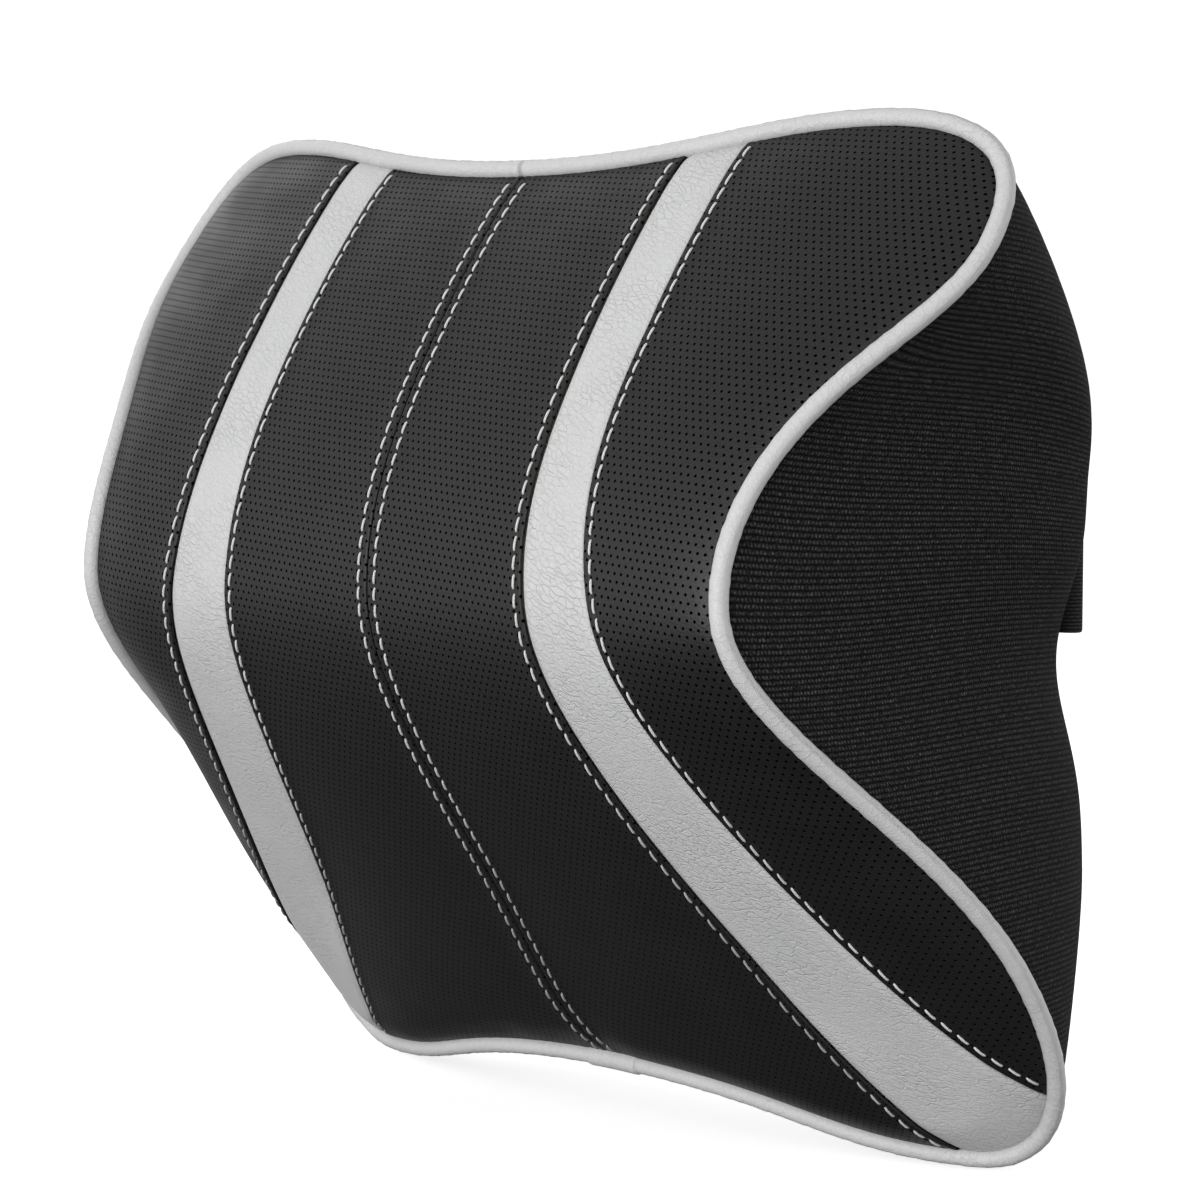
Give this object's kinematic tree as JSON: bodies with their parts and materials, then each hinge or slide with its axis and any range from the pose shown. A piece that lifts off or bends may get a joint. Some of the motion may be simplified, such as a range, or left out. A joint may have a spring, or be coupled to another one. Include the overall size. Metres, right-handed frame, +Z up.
{
  "type": "headrest cushion",
  "caption": "Contoured neck and head cushion in perforated leatherette with flared stripes and piping, a zipped knit back, and a buckled strap that holds it to a chair back.",
  "frame": {"origin": "middle of the cushion's flat back face, on the face", "axes": "+Z up, +Y out of the flat back towards the chair, so the face that the neck rests on looks along -Y; +X to the right seen from the front"},
  "size_m": [0.2902, 0.1475, 0.2518],
  "materials": {
    "black_leatherette": "perforated, fine grain, satin",
    "light_grey_leatherette": "fine grain, satin",
    "black_knit": "ribbed knit",
    "memory_foam": "slow-recovery polyurethane foam",
    "black_webbing": "woven elastic",
    "black_acetal": "moulded",
    "zip_tape_cloth": "woven tape",
    "blackened_zinc": "blackened, satin",
    "white_satin": "blank satin label"
  },
  "bodies": {
    "cushion": {"foam_core": "memory_foam", "front_panel_centre_left": "black_leatherette", "front_panel_centre_right": "black_leatherette", "stripe_left": "light_grey_leatherette", "stripe_right": "light_grey_leatherette", "front_panel_outer_left": "black_leatherette", "front_panel_outer_right": "black_leatherette", "edge_piping": "light_grey_leatherette", "back_cover": "black_knit", "care_label": "white_satin", "zip_tape_upper": "zip_tape_cloth", "zip_tape_lower": "zip_tape_cloth", "zip_coil_upper": "black_acetal", "zip_coil_lower": "black_acetal", "zip_stop_closed": "blackened_zinc", "zip_stop_open": "blackened_zinc", "strap_left": "black_webbing", "strap_right": "black_webbing", "strap_anchor_left": "black_webbing", "strap_anchor_right": "black_webbing", "buckle_female": "black_acetal"},
    "slider": {"zip_slider": "blackened_zinc"},
    "pull": {"zip_pull": "blackened_zinc"},
    "plug": {"buckle_male": "black_acetal", "strap_tail": "black_webbing"},
    "adjuster": {"strap_adjuster": "black_acetal"}
  },
  "joints": [
    {"name": "zip_slide", "type": "slide", "parent": "cushion", "child": "slider", "axis": [1, 0, 0], "range_m": [-0.154, 0]},
    {"name": "pull_swing", "type": "hinge", "parent": "slider", "child": "pull", "pos_m": [0.077, 0.0032, -0.062], "axis": [0, 0, -1], "range_deg": [0, 165]},
    {"name": "buckle_release", "type": "slide", "parent": "cushion", "child": "plug", "axis": [1, 0, 0], "range_m": [0, 0.026]},
    {"name": "adjuster_slide", "type": "slide", "parent": "plug", "child": "adjuster", "axis": [1, 0, 0], "range_m": [-0.004, 0.01]}
  ]
}
